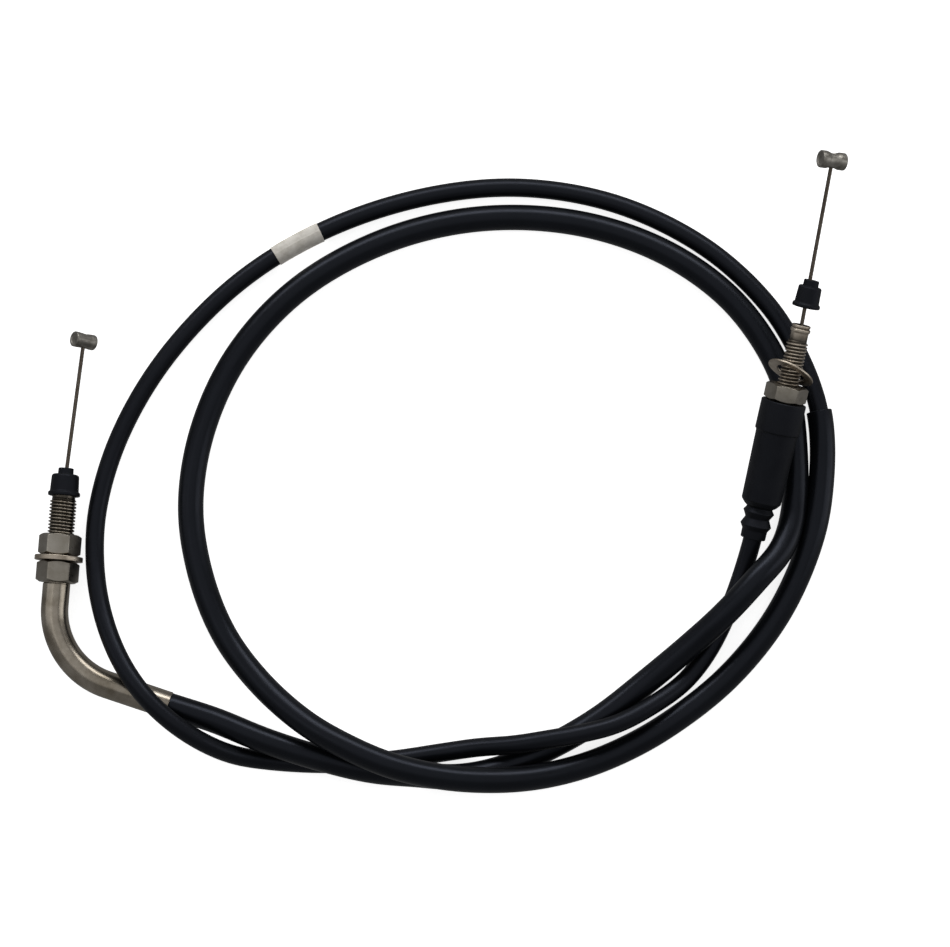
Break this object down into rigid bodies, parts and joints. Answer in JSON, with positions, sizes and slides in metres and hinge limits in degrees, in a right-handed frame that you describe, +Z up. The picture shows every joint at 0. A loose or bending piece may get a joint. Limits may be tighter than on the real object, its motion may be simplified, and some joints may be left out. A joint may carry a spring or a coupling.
{
  "type": "throttle cable",
  "caption": "Motorcycle throttle cable laid in loose loops, with a threaded elbow guide at one end and a booted inline adjuster at the other.",
  "frame": {"origin": "on the plane that the cable lies on, under the middle of its box", "axes": "+Z up from the plane it lies on, +X from the guide elbow towards the adjuster, +Y towards the free ends of the inner wire"},
  "size_m": [0.3005, 0.2347, 0.0463],
  "materials": {
    "sheath_vinyl": "extruded black PVC sleeving, satin",
    "jacket_vinyl": "extruded black vinyl casing, satin",
    "moulded_rubber": "moulded black rubber, dull with a faint bloom",
    "nickel_steel": "nickel-plated steel, drawn, turned or pressed",
    "zinc_nut_steel": "zinc-plated steel nut, satin flats",
    "die_cast_zinc": "die-cast zinc, dull grey",
    "wire_strand": "stranded steel wire, lightly oiled",
    "spring_steel": "flat-wound steel conduit",
    "liner_nylon": "natural nylon liner",
    "vinyl_tape": "light grey vinyl marking tape"
  },
  "bodies": {
    "root": {"casing_jacket": "jacket_vinyl", "spiral_conduit": "spring_steel", "casing_liner": "liner_nylon", "inner_wire_core": "wire_strand", "protective_sleeve": "sheath_vinyl", "id_band": "vinyl_tape", "elbow_pipe": "nickel_steel", "casing_ferrule_a": "nickel_steel", "adjuster_body": "nickel_steel", "casing_ferrule_b": "nickel_steel", "rubber_boot": "moulded_rubber"},
    "wire_a": {"inner_wire_end_a": "wire_strand", "barrel_nipple_a": "die_cast_zinc"},
    "wire_b": {"inner_wire_end_b": "wire_strand", "barrel_nipple_b": "die_cast_zinc"},
    "cap_a": {"dust_cap_a": "moulded_rubber"},
    "cap_b": {"dust_cap_b": "moulded_rubber"},
    "washer_a": {"washer_a": "nickel_steel"},
    "nut_a_upper": {"lock_nut_a_upper": "zinc_nut_steel"},
    "nut_a_lower": {"lock_nut_a_lower": "zinc_nut_steel"},
    "adjuster": {"adjuster_screw": "nickel_steel"},
    "washer_b": {"washer_b": "nickel_steel"},
    "nut_b": {"lock_nut_b": "zinc_nut_steel"}
  },
  "joints": [
    {"name": "wire_a_slide", "type": "slide", "parent": "root", "child": "wire_a", "axis": [0.121, 0.9922, -0.0305], "range_m": [-0.02, 0.02]},
    {"name": "wire_b_slide", "type": "slide", "parent": "root", "child": "wire_b", "axis": [0.1681, 0.9598, 0.2248], "range_m": [-0.02, 0.02]},
    {"name": "cap_a_slide", "type": "slide", "parent": "root", "child": "cap_a", "axis": [0.0715, 0.997, -0.0305], "range_m": [0, 0.009]},
    {"name": "washer_a_slide", "type": "slide", "parent": "root", "child": "washer_a", "axis": [0.0715, 0.997, -0.0305], "range_m": [0, 0.01]},
    {"name": "nut_a_upper_turn", "type": "hinge", "parent": "washer_a", "child": "nut_a_upper", "pos_m": [-0.1413, -0.03065, 0.00905], "axis": [0.0715, 0.997, -0.0305], "range_deg": [0, 2881]},
    {"name": "nut_a_lower_turn", "type": "hinge", "parent": "root", "child": "nut_a_lower", "pos_m": [-0.1413, -0.03065, 0.00905], "axis": [0.0715, 0.997, -0.0305], "range_deg": [0, 180]},
    {"name": "adjuster_slide", "type": "slide", "parent": "root", "child": "adjuster", "axis": [0.2092, 0.9516, 0.225], "range_m": [0, 0.006]},
    {"name": "cap_b_slide", "type": "slide", "parent": "adjuster", "child": "cap_b", "axis": [0.2092, 0.9516, 0.225], "range_m": [-0.011, 0.005]},
    {"name": "washer_b_slide", "type": "slide", "parent": "adjuster", "child": "washer_b", "axis": [0.2092, 0.9516, 0.225], "range_m": [0, 0.008]},
    {"name": "nut_b_turn", "type": "hinge", "parent": "washer_b", "child": "nut_b", "pos_m": [0.12865, 0.02975, 0.0217], "axis": [0.2092, 0.9516, 0.225], "range_deg": [0, 2305]}
  ],
  "couplings": [
    {"joint": "wire_b_slide", "follows": "wire_a_slide", "ratio": -1},
    {"joint": "nut_a_upper_turn", "follows": "washer_a_slide", "rad_per_m": 5026.5},
    {"joint": "nut_b_turn", "follows": "washer_b_slide", "rad_per_m": 5026.5}
  ]
}
